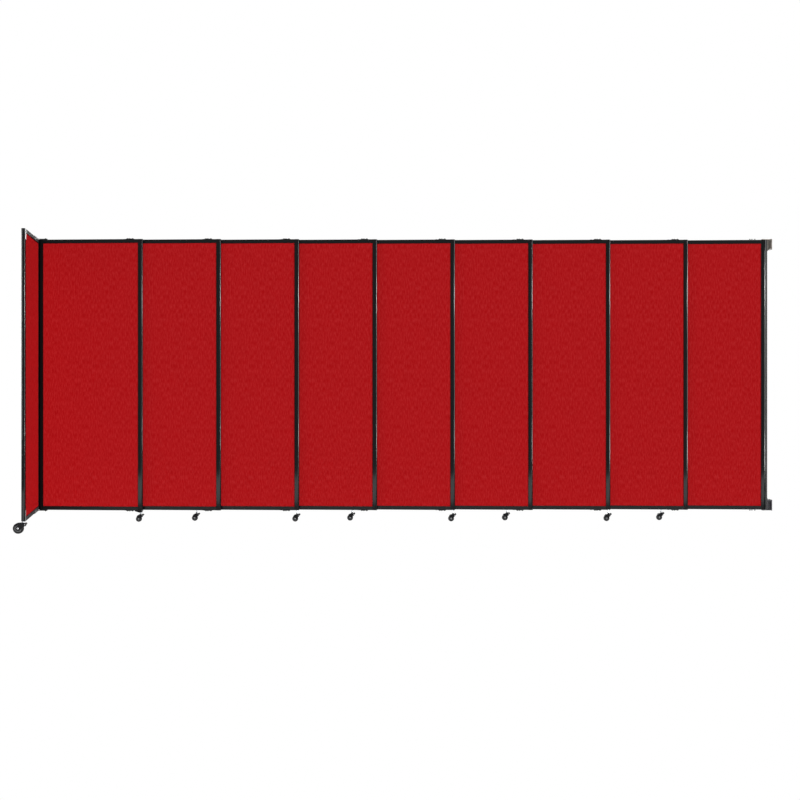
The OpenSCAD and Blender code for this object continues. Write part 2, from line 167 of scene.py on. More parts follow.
# Electroplated zinc is a cool grey metal with a soft cloud in its shine, and dulls as it ages
zincCoat = {"metallic": 1.0, "specular": 0.5, "grainMm": 3.0, "bump": 0.05, "bumpMm": 0.05}
agedRoughness = (0.34, 0.44)
finishes = {
    "powderCoatedSteel": {"dark": "#141516", "light": "#1B1D1E", **powderCoat},
    # the wall brackets' one powder coat in two copies that differ only by light: a pale one with painted
    # light, and a grey one with painted shade
    "wallSteelPaintedLight": {"dark": "#A29C94", "light": "#ADA79F", **powderCoat},
    "wallSteelPaintedShade": {"dark": "#525157", "light": "#5B5A60", **powderCoat},
    "zincPlate": {"dark": "#A4A8AD", "light": "#C2C6CA", "roughness": (0.24, 0.36), **zincCoat},
    "dullZinc": {"dark": "#5A5B5C", "light": "#6A6B6C", "roughness": agedRoughness, **zincCoat},
    "satinZinc": {"dark": "#7C7D7E", "light": "#8C8D8E", "roughness": agedRoughness, **zincCoat},
    # pressed and blackened steel: a near black metal that catches light on its edges
    "casterSteel": {
        "dark": "#101011", "light": "#171718", "metallic": 1.0, "roughness": agedRoughness, "specular": 0.5,
        "grainMm": 2.2, "bump": 0.08, "bumpMm": 0.08,
    },
    # moulded rubber: matt, dusty black
    "tyreRubber": {
        "dark": "#0B0B0C", "light": "#131313", "metallic": 0.0, "roughness": (0.68, 0.8), "specular": 0.2,
        "grainMm": 0.9, "bump": 0.3, "bumpMm": 0.1,
    },
    # moulded nylon: a fine spark-eroded grain with a soft shine, black on levers and caps, grey on hubs
    "mouldedNylon": {
        "dark": "#141516", "light": "#1B1C1D", "metallic": 0.0, "roughness": (0.45, 0.55), "specular": 0.35,
        "grainMm": 0.7, "bump": 0.2, "bumpMm": 0.06,
    },
    "hubNylon": {
        "dark": "#38393A", "light": "#464748", "metallic": 0.0, "roughness": (0.42, 0.5), "specular": 0.4,
        "grainMm": 1.1, "bump": 0.12, "bumpMm": 0.06,
    },
    # extruded soft vinyl: dull and even
    "sealVinyl": {
        "dark": "#1E1D1E", "light": "#262526", "metallic": 0.0, "roughness": (0.6, 0.7), "specular": 0.3,
        "grainMm": 1.2, "bump": 0.1, "bumpMm": 0.05,
    },
}


def makeFinish(name):
    look = finishes[name]
    material, tree, shader = startMaterial(name, {
        "Metallic": look["metallic"], "Specular IOR Level": look["specular"],
    })
    place = addNode(tree, "ShaderNodeTexCoord").outputs["Object"]
    scaled = addNode(tree, "ShaderNodeMapping", {"Scale": [1000 / look["grainMm"]] * 3}, {"Vector": place})
    grain = addNode(tree, "ShaderNodeTexNoise", {"Scale": 1.0, "Detail": 3.0, "Roughness": 0.6},
                    {"Vector": scaled.outputs["Vector"]})
    pattern = grain.outputs["Fac"]
    matt = addNode(tree, "ShaderNodeMapRange", {
        "To Min": look["roughness"][0], "To Max": look["roughness"][1],
    }, {"Value": pattern})
    tree.links.new(matt.outputs["Result"], shader.inputs["Roughness"])
    finishSurface(tree, shader, look, zip(fade, (look["dark"], look["light"])), pattern, pattern)
    return material


materials = {name: makeFinish(name) for name in finishes}
materials["wovenPolyester"] = makeFabric()
materials.update({name: makeAnodised(name) for name in anodised})
print("materials made:", len(materials))

finishOfSlot = {
    "frame_aluminium": "anodisedUpright", "red_fabric": "wovenPolyester",
    # the wall steel slot takes the bracket steel's copy with painted light
    "bracket_steel": "powderCoatedSteel", "wall_steel": "wallSteelPaintedLight",
    "caster_black": "powderCoatedSteel", "wheel_rubber": "tyreRubber", "lever_plastic": "mouldedNylon",
}
for part in frame["record"]["subparts"]:
    cadNode = frame["nodes"][part["node"]]
    cadNode.data.materials.clear()
    cadNode.data.materials.append(materials[finishOfSlot[part["material_slot"]]])


# Modelling: pieces are drawn at the origin, then taken to their place
hair = 0.01  # in millimetres: an edge or face is picked where it lies this close to its place
facing = 0.9  # a face looks along an axis where its normal reaches this far along it


def takeNothing():
    if bpy.context.object and bpy.context.object.mode != "OBJECT":
        bpy.ops.object.mode_set(mode="OBJECT")
    bpy.ops.object.select_all(action="DESELECT")


def takeUp(*pieces):
    # only these pieces are selected, the last one active, in object mode
    takeNothing()
    for piece in pieces:
        piece.select_set(True)
    bpy.context.view_layer.objects.active = pieces[-1]


def pick(piece, kind, wanted):
    # edit mode with just the faces, edges or points picked that wanted() says yes to
    takeUp(piece)
    mesh = piece.data
    for item in (*mesh.vertices, *mesh.edges, *mesh.polygons):
        item.select = False
    if kind == "FACE":
        for face in mesh.polygons:
            face.select = wanted(face.center, face.normal)
    elif kind == "EDGE":
        for edge in mesh.edges:
            edge.select = wanted(*(mesh.vertices[v].co for v in edge.vertices))
    else:
        for point in mesh.vertices:
            point.select = wanted(point.co)
    bpy.context.tool_settings.mesh_select_mode = [kind == mode for mode in ("VERT", "EDGE", "FACE")]
    bpy.ops.object.mode_set(mode="EDIT")


def smooth(piece, angleDeg=35):
    takeUp(piece)
    bpy.ops.object.shade_smooth_by_angle(angle=math.radians(angleDeg))


def keepFlats(piece):
    # normals weighted by face area, so that large flats shade flat right up to their rounded edges
    takeUp(piece)
    weighted = piece.modifiers.new("weighted", "WEIGHTED_NORMAL")
    weighted.keep_sharp = True
    bpy.ops.object.modifier_apply(modifier="weighted")


def addBevel(piece, widthMm, segments=2, angleDeg=35):
    # rounds every edge sharper than the angle
    takeUp(piece)
    bevel = piece.modifiers.new("bevel", "BEVEL")
    bevel.width, bevel.segments = widthMm / 1000, segments
    bevel.limit_method, bevel.angle_limit = "ANGLE", math.radians(angleDeg)
    bpy.ops.object.modifier_apply(modifier="bevel")


def copyPiece(piece):
    takeUp(piece)
    bpy.ops.object.duplicate(linked=False)
    return bpy.context.object


def settle(piece, name, place, finish, body, slot, *nodes):
    # takes a piece to its place, kept in its mesh, and ties it to its body
    piece.name = piece.data.name = name
    takeUp(piece)
    piece.matrix_world = place @ piece.matrix_world
    bpy.ops.object.transform_apply(location=True, rotation=True, scale=True)
    if finish:
        piece.data.materials.clear()
        piece.data.materials.append(materials[finish])
    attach(piece, body)
    if nodes:
        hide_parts(*nodes)
    return piece


# Sizes that the pieces share, in millimetres, as the solids have them
shared = {
    "panelWidth": 684, "frameHeight": 1755, "floorGap": 74, "frameDepth": 25.4, "postWidth": 28.5,
    "railHeight": 23.5, "panelTurnDeg": -4.323, "wingTurnDeg": -81.5,
}
nose = shared["frameDepth"] / 2
topZ = shared["floorGap"] + shared["frameHeight"]
middleZ = shared["floorGap"] + shared["frameHeight"] / 2
upsideDown = Matrix.Translation((0, 0, 2 * middleZ / 1000)) @ Matrix.Rotation(math.pi, 4, "X")


def noseOf(node, turnDeg):
    # place of a panel or the wing, whose left post's round nose is centred on X = 0, with its front to -Y
    low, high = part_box(node)
    return (Matrix.Translation((low.x + nose / 1000, high.y - nose / 1000, 0))
            @ Matrix.Rotation(math.radians(turnDeg), 4, "Z"))


def stood(x, y, z):
    return Matrix.Translation((x / 1000, y / 1000, z / 1000))


panelNames = [f"panel_{number}" for number in range(1, 10)]
placeOf = {name: noseOf(f"{name}_frame", shared["panelTurnDeg"]) for name in panelNames}
placeOf["wing"] = noseOf("wing_frame", shared["wingTurnDeg"])

# Fabric board: a stiff board wrapped in cloth, its edge thinned to sit in the frame's grooves
board = {"thickness": 19, "edgeThickness": 9, "edgeDepth": 5.8, "cornerRound": 2.5, "roundSteps": 3}


def makeBoard():
    width = shared["panelWidth"] - 2 * shared["postWidth"]
    height = shared["frameHeight"] - 2 * shared["railHeight"]
    edge, half = board["edgeDepth"], board["thickness"] / 2
    takeNothing()
    bpy.ops.mesh.primitive_cube_add(size=1, location=(
        (shared["panelWidth"] / 2 - nose) / 1000, 0, middleZ / 1000))
    piece = bpy.context.object
    piece.scale = ((width + 2 * edge) / 1000, board["edgeThickness"] / 1000, (height + 2 * edge) / 1000)
    bpy.ops.object.transform_apply(location=True, rotation=True, scale=True)
    for side in (-1, 1):
        pick(piece, "FACE", lambda centre, normal: normal.y * side > facing)
        bpy.ops.mesh.inset(thickness=edge / 1000, depth=0)
        bpy.ops.mesh.extrude_region_move(TRANSFORM_OT_translate={
            "value": (0, side * (half - board["edgeThickness"] / 2) / 1000, 0)})
    rim = (half - hair) / 1000
    pick(piece, "EDGE", lambda a, b: abs(a.y) > rim and abs(b.y) > rim)
    bpy.ops.mesh.bevel(offset=board["cornerRound"] / 1000, segments=board["roundSteps"])
    smooth(piece)
    keepFlats(piece)
    layer = piece.data.uv_layers.new(name="cloth")  # in metres of cloth, so that the weave follows the board
    for loop in piece.data.loops:
        spot = piece.data.vertices[loop.vertex_index].co
        layer.data[loop.index].uv = (spot.x + spot.y, spot.z)
    return piece


firstBoard = makeBoard()
for name in [*panelNames, "wing"]:
    piece = firstBoard if name == "wing" else copyPiece(firstBoard)
    settle(piece, f"{name}_fabricBoard", placeOf[name], "wovenPolyester", bodyOf[f"{name}_board"],
           "red_fabric", f"{name}_board")
print("fabric boards made")


# A solid's mesh is loose triangles: its points are merged and its flats made whole before a bevel
merging = {"mergeMm": 0.005, "flatDeg": 0.5}


def softenedCopy(node, widthMm, drop=None, segments=2):
    # a merged copy of a solid with its edges rounded like the real part's, without what drop() names
    piece = bpy.data.objects.new(node, frame["nodes"][node].data.copy())
    bpy.context.scene.collection.objects.link(piece)
    takeUp(piece)
    bpy.ops.mesh.customdata_custom_splitnormals_clear()
    bpy.ops.object.mode_set(mode="EDIT")
    bpy.ops.mesh.select_all(action="SELECT")
    bpy.ops.mesh.remove_doubles(threshold=merging["mergeMm"] / 1000)
    bpy.ops.mesh.dissolve_limited(angle_limit=math.radians(merging["flatDeg"]))
    bpy.ops.object.mode_set(mode="OBJECT")
    if drop:
        pick(piece, "VERT", drop)
        bpy.ops.mesh.delete(type="VERT")
        bpy.ops.object.mode_set(mode="OBJECT")
    addBevel(piece, widthMm, segments)
    smooth(piece)
    keepFlats(piece)
    return piece


# Brackets: flame-cut plates with dressed edges, powder coated, their bolts on top
brackets = {
    "edgeMm": 0.5, "padBolts": (571.8, 584.8, 603.8), "shoeBolts": (550.3, 578.3), "layer": 38.1,
    "slideTop": 3.4, "hingeTop": 6.4, "strapTop": 3, "hingeBolt": 29.3, "strapBolts": (60, 135, 212),
    "pinClear": 15, "seamMm": 0.03,
}


def headsAbove(top):
    # the plain heads of the solids' bolts, which stand more than top above the frames
    reach = (shared["frameHeight"] / 2 + top + brackets["seamMm"]) / 1000
    return lambda spot: abs(spot.z - middleZ / 1000) > reach


# Frame extrusions: the corners of a die-drawn profile are broken by a few tenths of a millimetre
extrusion = {"cornerMm": 0.4, "wingTrimMm": 0.03}
trim = 1 - 2 * extrusion["wingTrimMm"] / shared["frameHeight"]
# The wing's frame is a hair short, so that its ends never rub on the hinge plates' pads
trimmed = stood(0, 0, middleZ) @ Matrix.Diagonal((1, 1, trim, 1)) @ stood(0, 0, -middleZ)

for name in [*panelNames, "wing"]:
    node = f"{name}_frame"
    heads = headsAbove(brackets["slideTop"]) if name == "panel_9" else None
    piece = softenedCopy(node, extrusion["cornerMm"], heads, segments=1)
    mesh = piece.data
    mesh.materials.clear()
    mesh.materials.append(materials["anodisedUpright"])
    mesh.materials.append(materials["anodisedWingRail" if name == "wing" else "anodisedRail"])
    back = placeOf[name].inverted()
    for face in mesh.polygons:
        fromMiddle = abs((back @ face.center).x * 1000 + nose - shared["panelWidth"] / 2)
        face.material_index = int(fromMiddle < shared["panelWidth"] / 2 - shared["postWidth"])
    settle(piece, f"{name}_extrusions", trimmed if name == "wing" else Matrix.Identity(4), None,
           bodyOf[node], "frame_aluminium", node)
print("frames made")

# Button head bolt with a hexagon socket, drawn from its seat up
bolt = {"headRadius": 5.5, "headHeight": 3.6, "rimHeight": 0.7, "domeDeg": 62, "domeSteps": 4,
        "socketRadius": 2.3, "socketDepth": 1.9, "sides": 24, "smoothDeg": 30}


def makeBolt():
    takeNothing()
    rim, height = bolt["rimHeight"], bolt["headHeight"]
    bpy.ops.mesh.primitive_cylinder_add(vertices=bolt["sides"], radius=bolt["headRadius"] / 1000,
                                        depth=rim / 1000, location=(0, 0, rim / 2000))
    head = bpy.context.object
    bpy.ops.object.transform_apply(location=True, rotation=True, scale=True)
    dome, steps = math.radians(bolt["domeDeg"]), bolt["domeSteps"]
    pick(head, "FACE", lambda centre, normal: normal.z > facing)
    for step in range(1, steps + 1):  # the dome, one ring at a time
        turn, before = dome * step / steps, dome * (step - 1) / steps
        rise = (height - rim) * (math.sin(turn) - math.sin(before)) / math.sin(dome)
        bpy.ops.mesh.extrude_region_move(TRANSFORM_OT_translate={"value": (0, 0, rise / 1000)})
        shrink = math.cos(turn) / math.cos(before)
        bpy.ops.transform.resize(value=(shrink, shrink, 1), center_override=(0, 0, 0))
    bpy.ops.mesh.delete(type="FACE")
    bpy.ops.object.mode_set(mode="OBJECT")
    takeNothing()
    bpy.ops.mesh.primitive_circle_add(vertices=6, radius=bolt["socketRadius"] / 1000,
                                      location=(0, 0, height / 1000), fill_type="NGON")
    socket = bpy.context.object
    pick(socket, "FACE", lambda centre, normal: True)
    bpy.ops.mesh.extrude_region_move(TRANSFORM_OT_translate={"value": (0, 0, -bolt["socketDepth"] / 1000)})
    takeUp(socket, head)
    bpy.ops.object.join()
    crown = (height - hair) / 1000
    pick(head, "EDGE", lambda a, b: a.z > crown and b.z > crown)
    bpy.ops.mesh.bridge_edge_loops()
    bpy.ops.mesh.select_all(action="SELECT")
    bpy.ops.mesh.normals_make_consistent(inside=False)
    smooth(head, bolt["smoothDeg"])
    return head


firstBolt = makeBolt()


def boltsOn(name, spots, place, body):
    # bolts at (x, y, z) on the top side, in millimetres, and their twins upside down at the bottom
    row = []
    for x, y, z in spots:
        for spot in (stood(x, y, z), upsideDown @ stood(x, -y, z)):
            piece = copyPiece(firstBolt)
            piece.matrix_world = spot
            bpy.ops.object.transform_apply(location=True, rotation=True, scale=True)
            row.append(piece)
    takeUp(*row)
    bpy.ops.object.join()
    return settle(bpy.context.object, name, place, "powderCoatedSteel", body, "bracket_steel")


def hingeHeads(spot):
    # the hinge plates' bolt heads, but not the pivot pins' flat heads
    clearOfPin = (placeOf["panel_1"].inverted() @ spot).x > -brackets["pinClear"] / 1000
    return clearOfPin and headsAbove(brackets["hingeTop"])(spot)


for number in range(1, 9):
    node = f"slide_bracket_{number}"
    piece = softenedCopy(node, brackets["edgeMm"], headsAbove(brackets["slideTop"]), segments=1)
    settle(piece, f"slideBracket{number}", Matrix.Identity(4), "powderCoatedSteel", bodyOf[node],
           "bracket_steel", node)
    spots = [(x, 0, topZ + brackets["slideTop"]) for x in brackets["padBolts"]]
    spots += [(x, brackets["layer"], topZ + brackets["slideTop"]) for x in brackets["shoeBolts"]]
    boltsOn(f"slideBracket{number}_bolts", spots, placeOf[f"panel_{number}"], bodyOf[node])
for node, drop in (("wing_hinge_plates", hingeHeads),
                   ("wing_hinge_straps", headsAbove(brackets["strapTop"]))):
    piece = softenedCopy(node, brackets["edgeMm"], drop, segments=1)
    settle(piece, f"{node}_dressed", Matrix.Identity(4), "powderCoatedSteel", bodyOf[node],
           "bracket_steel", node)
# the upper wall bracket takes the copy with painted light, and the lower one the darker copy with painted
# shade
for node, finish, slot in (("wall_bracket_upper", "wallSteelPaintedLight", "wall_steel"),
                           ("wall_bracket_lower", "wallSteelPaintedShade", "wall_steel"),
                           ("wall_post", "powderCoatedSteel", "bracket_steel")):
    piece = softenedCopy(node, brackets["edgeMm"])
    settle(piece, f"{node}_dressed", Matrix.Identity(4), finish, bodyOf[node], slot, node)
boltsOn("endStop_bolts", [(x, 0, topZ + brackets["slideTop"]) for x in brackets["padBolts"]],
        placeOf["panel_9"], bodyOf["panel_9_frame"])
boltsOn("hingePlate_bolts", [(brackets["hingeBolt"], 0, topZ + brackets["hingeTop"])],
        placeOf["panel_1"], bodyOf["wing_hinge_plates"])
boltsOn("hingeStrap_bolts", [(x, 0, topZ + brackets["strapTop"]) for x in brackets["strapBolts"]],
        placeOf["wing"], bodyOf["wing_hinge_straps"])
bpy.data.objects.remove(firstBolt)
print("brackets and bolts made")

# Moulded caps that close the posts' open ends, and the soft lip that closes the gap at the hinge
caps = {"height": 0.6, "inset": 0.4, "edge": 0.3, "sides": 32}
lip = {"width": 1.7, "depth": 4, "sunk": 0.3, "edge": 0.5}
reach = shared["panelWidth"] - 2 * nose
# Each small caster's panel, and the post that it stands under: 0 for the left one, 1 for the right
casterPosts = ((1, 1), (3, 0), (3, 1), (5, 0), (5, 1), (7, 0), (7, 1), (9, 0))


def makeCap():
    # a disc cut in half and drawn out to the post's outline, its top edge rounded
    takeNothing()
    bpy.ops.mesh.primitive_cylinder_add(vertices=caps["sides"], radius=(nose - caps["inset"]) / 1000,
                                        depth=caps["height"] / 1000, location=(0, 0, caps["height"] / 2000))
    cap = bpy.context.object
    bpy.ops.object.transform_apply(location=True, rotation=True, scale=True)
    pick(cap, "FACE", lambda centre, normal: True)
    bpy.ops.mesh.bisect(plane_co=(0, 0, 0), plane_no=(1, 0, 0), use_fill=True, clear_outer=True)
    bpy.ops.object.mode_set(mode="OBJECT")
    pick(cap, "FACE", lambda centre, normal: normal.x > facing)
    bpy.ops.mesh.extrude_region_move(TRANSFORM_OT_translate={
        "value": ((shared["postWidth"] - nose - caps["inset"]) / 1000, 0, 0)})
    top = (caps["height"] - hair) / 1000
    pick(cap, "EDGE", lambda a, b: a.z > top and b.z > top)
    bpy.ops.mesh.bevel(offset=caps["edge"] / 1000, segments=2)
    smooth(cap)
    return cap


firstCap = makeCap()
turnedRound = stood(reach, 0, 0) @ Matrix.Rotation(math.pi, 4, "Z")
closedEnds = {("panel_1", 0), ("wing", 0), ("panel_9", 1)}  # under the hinge plates and the wall bracket
stemEnds = {(f"panel_{panel}", side) for panel, side in casterPosts} | {("wing", 1)}
for name in [*panelNames, "wing"]:
    row = []
    for side in (0, 1):
        if (name, side) in closedEnds:
            continue
        ends = [stood(0, 0, topZ)]
        if (name, side) not in stemEnds:
            ends.append(upsideDown @ stood(0, 0, topZ))
        for end in ends:
            piece = copyPiece(firstCap)
            piece.matrix_world = (turnedRound if side else Matrix.Identity(4)) @ end
            bpy.ops.object.transform_apply(location=True, rotation=True, scale=True)
            row.append(piece)
    takeUp(*row)
    bpy.ops.object.join()
    settle(bpy.context.object, f"{name}_postCaps", placeOf[name], "mouldedNylon", bodyOf[f"{name}_frame"],
           "lever_plastic")
bpy.data.objects.remove(firstCap)


def makeLip():
    # an upright vinyl lip on the first panel's round nose, just clear of the wing's nose
    takeNothing()
    bpy.ops.mesh.primitive_cube_add(size=1, location=(
        -(nose - lip["sunk"] + lip["width"] / 2) / 1000, 0, middleZ / 1000))
    piece = bpy.context.object
    piece.scale = (lip["width"] / 1000, lip["depth"] / 1000, shared["frameHeight"] / 1000)
    bpy.ops.object.transform_apply(location=True, rotation=True, scale=True)
    pick(piece, "EDGE", lambda a, b: abs(a.z - b.z) > 1 and a.x < -nose / 1000)
    bpy.ops.mesh.bevel(offset=lip["edge"] / 1000, segments=3)
    smooth(piece)
    return piece


settle(makeLip(), "hingeGapLip", placeOf["panel_1"], "sealVinyl", "panel_1", "wheel_rubber")
print("post caps and hinge lip made")

# Casters: swivel fork on a plated stem, rubber tyre on a ribbed hub, and a brake lever with a moulded toe
casters = {
    "small": {"wheelRadius": 19, "wheelWidth": 16, "trail": 13, "crownTop": 52, "forkWidth": 22,
              "pivot": (9.5, 40), "tip": (14, 46), "washerRadius": 5, "plating": "dullZinc"},
    "wing": {"wheelRadius": 32, "wheelWidth": 22, "trail": 30, "crownTop": 70, "forkWidth": 28,
             "pivot": (11, 54), "tip": (14.5, 60), "washerRadius": 6, "plating": "satinZinc"},
}
wheelParts = {"sides": 48, "treadShare": 0.45, "treadSteps": 4, "rimShare": 0.66, "seam": 0.6, "hubLip": 1.3,
              "slope": 0.4, "recess": 2.8, "bossRadius": 5.5, "bossSlope": 0.3, "bossOut": 0.6, "bore": 2.55,
              "ribs": 6, "ribSunk": 0.4, "smoothDeg": 38}


def makeWheel(size):
    # one turned disc: rounded tread, sunk hub with ribs, bored boss
    radius, half = size["wheelRadius"], size["wheelWidth"] / 2
    edgeRound, rim = half * wheelParts["treadShare"], radius * wheelParts["rimShare"]
    seam, hubLip, recess = wheelParts["seam"], wheelParts["hubLip"], wheelParts["recess"]
    slope, bossRadius, bossSlope = wheelParts["slope"], wheelParts["bossRadius"], wheelParts["bossSlope"]
    takeNothing()
    bpy.ops.mesh.primitive_cylinder_add(vertices=wheelParts["sides"], radius=radius / 1000,
                                        depth=2 * half / 1000)
    wheel = bpy.context.object
    near = hair / 1000
    pick(wheel, "EDGE", lambda a, b: abs(abs(a.z) - half / 1000) < near and abs(a.z - b.z) < near)
    bpy.ops.mesh.bevel(offset=edgeRound / 1000, segments=wheelParts["treadSteps"])
    for side in (1, -1):
        pick(wheel, "FACE", lambda centre, normal: centre.z * side > half / 1000 - near
             and centre.xy.length < near)
        for thickness, depth in (
                (radius - edgeRound - rim, 0), (seam, -seam), (hubLip, 0), (slope, -recess),
                (rim - seam - hubLip - slope - bossRadius, 0),
                (bossSlope, recess + seam + wheelParts["bossOut"]),
                (bossRadius - bossSlope - wheelParts["bore"], 0)):
            bpy.ops.mesh.inset(thickness=thickness / 1000, depth=depth / 1000)
        bpy.ops.mesh.delete(type="FACE")
        floor = (half - seam - recess) / 1000
        ribTurn = math.radians(360 / wheelParts["ribs"])

        def isRib(centre, normal):  # one side of the recess's floor in each turn from rib to rib
            turn = math.atan2(centre.y, centre.x) % ribTurn
            return (abs(centre.z * side - floor) < near and centre.xy.length < rim / 1000
                    and turn < math.radians(360 / wheelParts["sides"]))
        pick(wheel, "FACE", isRib)
        bpy.ops.mesh.extrude_region_move(TRANSFORM_OT_translate={
            "value": (0, 0, side * (recess - wheelParts["ribSunk"]) / 1000)})
    bore = (wheelParts["bore"] + hair) / 1000
    pick(wheel, "EDGE", lambda a, b: a.xy.length < bore and b.xy.length < bore)
    bpy.ops.mesh.bridge_edge_loops()
    bpy.ops.mesh.select_all(action="SELECT")
    bpy.ops.mesh.normals_make_consistent(inside=False)
    bpy.ops.object.mode_set(mode="OBJECT")
    wheel.rotation_euler = (math.radians(90), 0, 0)
    wheel.location = (-size["trail"] / 1000, 0, radius / 1000)
    bpy.ops.object.transform_apply(location=True, rotation=True, scale=True)
    wheel.data.materials.append(materials["tyreRubber"])
    wheel.data.materials.append(materials["hubNylon"])
    axle = Vector((-size["trail"] / 1000, radius / 1000))
    for face in wheel.data.polygons:
        out = (Vector((face.center.x, face.center.z)) - axle).length
        face.material_index = int(out < (rim - seam / 2) / 1000)
    smooth(wheel, wheelParts["smoothDeg"])
    return wheel


# What shows on the fork: each turned piece's radius, height, rounded edge and number of sides, without the
# radius for the washer, whose caster gives it, and the nut
hardware = {
    "washer": (0.5, 0.2, 32), "axleHead": (3.7, 0.58, 0.5, 24), "pivotHead": (2.7, 1.2, 0.6, 24),
    "offCheek": 0.05, "nutAcross": 13, "nutHeight": 5, "nutSunk": 0.4, "nutEdge": 0.5,
}


def makeDisc(radius, height, roundOff, sides, spot):
    # a turned disc on the fork's near cheek, its outer edge rounded, with its twin on the far cheek
    pair = []
    for side in (-1, 1):
        takeNothing()
        bpy.ops.mesh.primitive_cylinder_add(
            vertices=sides, radius=radius / 1000, depth=height / 1000, rotation=(math.radians(90), 0, 0),
            location=(spot[0] / 1000, side * (spot[1] + height / 2) / 1000, spot[2] / 1000))
        disc = bpy.context.object
        bpy.ops.object.transform_apply(location=True, rotation=True, scale=True)
        outer = (spot[1] + height - hair) / 1000
        pick(disc, "EDGE", lambda a, b: a.y * side > outer and b.y * side > outer)
        bpy.ops.mesh.bevel(offset=roundOff / 1000, segments=3)
        smooth(disc)
        pair.append(disc)
    return pair


def makeNut(bottom):
    # the lock nut where the stem enters the crown
    takeNothing()
    radius, height = hardware["nutAcross"] / 2 / math.cos(math.pi / 6), hardware["nutHeight"]
    bpy.ops.mesh.primitive_cylinder_add(vertices=6, radius=radius / 1000, depth=height / 1000,
                                        location=(0, 0, (bottom + height / 2) / 1000))
    nut = bpy.context.object
    bpy.ops.object.transform_apply(location=True, rotation=True, scale=True)
    addBevel(nut, hardware["nutEdge"])
    smooth(nut)
    return nut


def makeHardware(size):
    # axle heads on their washers, pivot heads, and the lock nut
    cheek, axle, pivot = size["forkWidth"] / 2 + hardware["offCheek"], size["wheelRadius"], size["pivot"]
    row = makeDisc(size["washerRadius"], *hardware["washer"], (-size["trail"], cheek, axle))
    row += makeDisc(*hardware["axleHead"], (-size["trail"], cheek + hardware["washer"][0], axle))
    row += makeDisc(*hardware["pivotHead"], (pivot[0], cheek, pivot[1]))
    row.append(makeNut(size["crownTop"] - hardware["nutSunk"]))
    takeUp(*row)
    bpy.ops.object.join()
    return bpy.context.object


# Toe piece on the lever, in millimetres: wider says how much it is wider than the wheel
toePiece = {"radius": 6.4, "wider": 1, "edge": 1.5, "sides": 24}


def makeToe(size):
    # a roller shape, moulded round the lever's tip
    takeNothing()
    x, z = size["tip"]
    width = size["wheelWidth"] + toePiece["wider"]
    bpy.ops.mesh.primitive_cylinder_add(vertices=toePiece["sides"], radius=toePiece["radius"] / 1000,
                                        depth=width / 1000, rotation=(math.radians(90), 0, 0),
                                        location=(x / 1000, 0, z / 1000))
    toe = bpy.context.object
    bpy.ops.object.transform_apply(location=True, rotation=True, scale=True)
    end = (width / 2 - hair) / 1000
    pick(toe, "EDGE", lambda a, b: abs(a.y) > end and abs(b.y) > end and a.y * b.y > 0)
    bpy.ops.mesh.bevel(offset=toePiece["edge"] / 1000, segments=3)
    smooth(toe)
    return toe


# Fork and lever: their edges' rounding, and how far past the cheeks the solids' plain pin heads start and
# above the crown the plated stem does
dressing = {"forkEdge": 0.4, "leverEdge": 0.6, "headsFrom": 0.03, "stemFrom": 0.05}


def placeCaster(name, kind, place, wheelModel, hardwareModel, toeModel, last):
    # the last caster of a kind takes the models themselves, and the others take copies
    size = casters[kind]
    fork, wheel, brake = (f"{name}_{part}" for part in ("fork", "wheel", "brake"))
    inside = place.inverted()
    cheek = (size["forkWidth"] / 2 + dressing["headsFrom"]) / 1000
    piece = softenedCopy(fork, dressing["forkEdge"], lambda spot: abs((inside @ spot).y) > cheek)
    mesh = piece.data
    mesh.materials.clear()
    mesh.materials.append(materials["casterSteel"])
    mesh.materials.append(materials["zincPlate"])
    stem = (size["crownTop"] + dressing["stemFrom"]) / 1000
    for face in mesh.polygons:
        face.material_index = int((inside @ face.center).z > stem)
    settle(piece, f"{name}_swivelFork", Matrix.Identity(4), None, bodyOf[fork], "caster_black", fork)
    plated = hardwareModel if last else copyPiece(hardwareModel)
    settle(plated, f"{name}_hardware", place, size["plating"], bodyOf[fork], "bright_steel")
    tyre = wheelModel if last else copyPiece(wheelModel)
    settle(tyre, f"{name}_tyreAndHub", place, None, bodyOf[wheel], "wheel_rubber", wheel)
    lever = softenedCopy(brake, dressing["leverEdge"])
    toe = toeModel if last else copyPiece(toeModel)
    toe.matrix_world = place
    takeUp(toe)
    bpy.ops.object.transform_apply(location=True, rotation=True, scale=True)
    takeUp(toe, lever)
    bpy.ops.object.join()
    settle(bpy.context.object, f"{name}_brakeLever", Matrix.Identity(4), "mouldedNylon", bodyOf[brake],
           "lever_plastic", brake)


def uprightAt(spot):
    # casters face along the run whichever way their post is turned
    return Matrix.Translation((spot.x, spot.y, 0))


models = [makeWheel(casters["small"]), makeHardware(casters["small"]), makeToe(casters["small"])]
for number, (panel, side) in enumerate(casterPosts, 1):
    stem = placeOf[f"panel_{panel}"] @ Vector((side * reach / 1000, 0, 0))
    placeCaster(f"caster_{number}", "small", uprightAt(stem), *models, number == len(casterPosts))
models = [makeWheel(casters["wing"]), makeHardware(casters["wing"]), makeToe(casters["wing"])]
placeCaster("wing_caster", "wing", uprightAt(placeOf["wing"] @ Vector((reach / 1000, 0, 0))), *models, True)
print("casters made")

# Stage: pale floor, even studio light, camera at eye level
stage = {"floorHalf": 40.0, "floorGrey": 0.8, "worldStrength": 0.12, "backdrop": 1.0}
# Suns: strength, turn from +X towards -Y, height and softness in degrees. The weak one behind is for the
# backs of the panels.
suns = {"softSun": (3.49, 46, 25, 35), "backFill": (1.7, -107, 10, 35)}
# Softboxes, which show only as reflections and don't light the fabric: place, width, height and radiance.
# Those far to the sides draw light strips down the round noses, and floorGlow greys the bottom rails.
softboxes = {
    "highWindow": ((30, -4.5, 3.35), 7, 0.7, 225),
    "lowWindow": ((6.5, -0.75, 0.18), 1.1, 0.34, 125),
    "paleWall": ((12, -1.85, 3.0), 2.7, 6.0, 29),
    "leftWall": ((-12, -3, 2.5), 4, 5.0, 30),
    "floorGlow": ((0, -0.9, 0.1), 6, 0.2, 5.5),
}


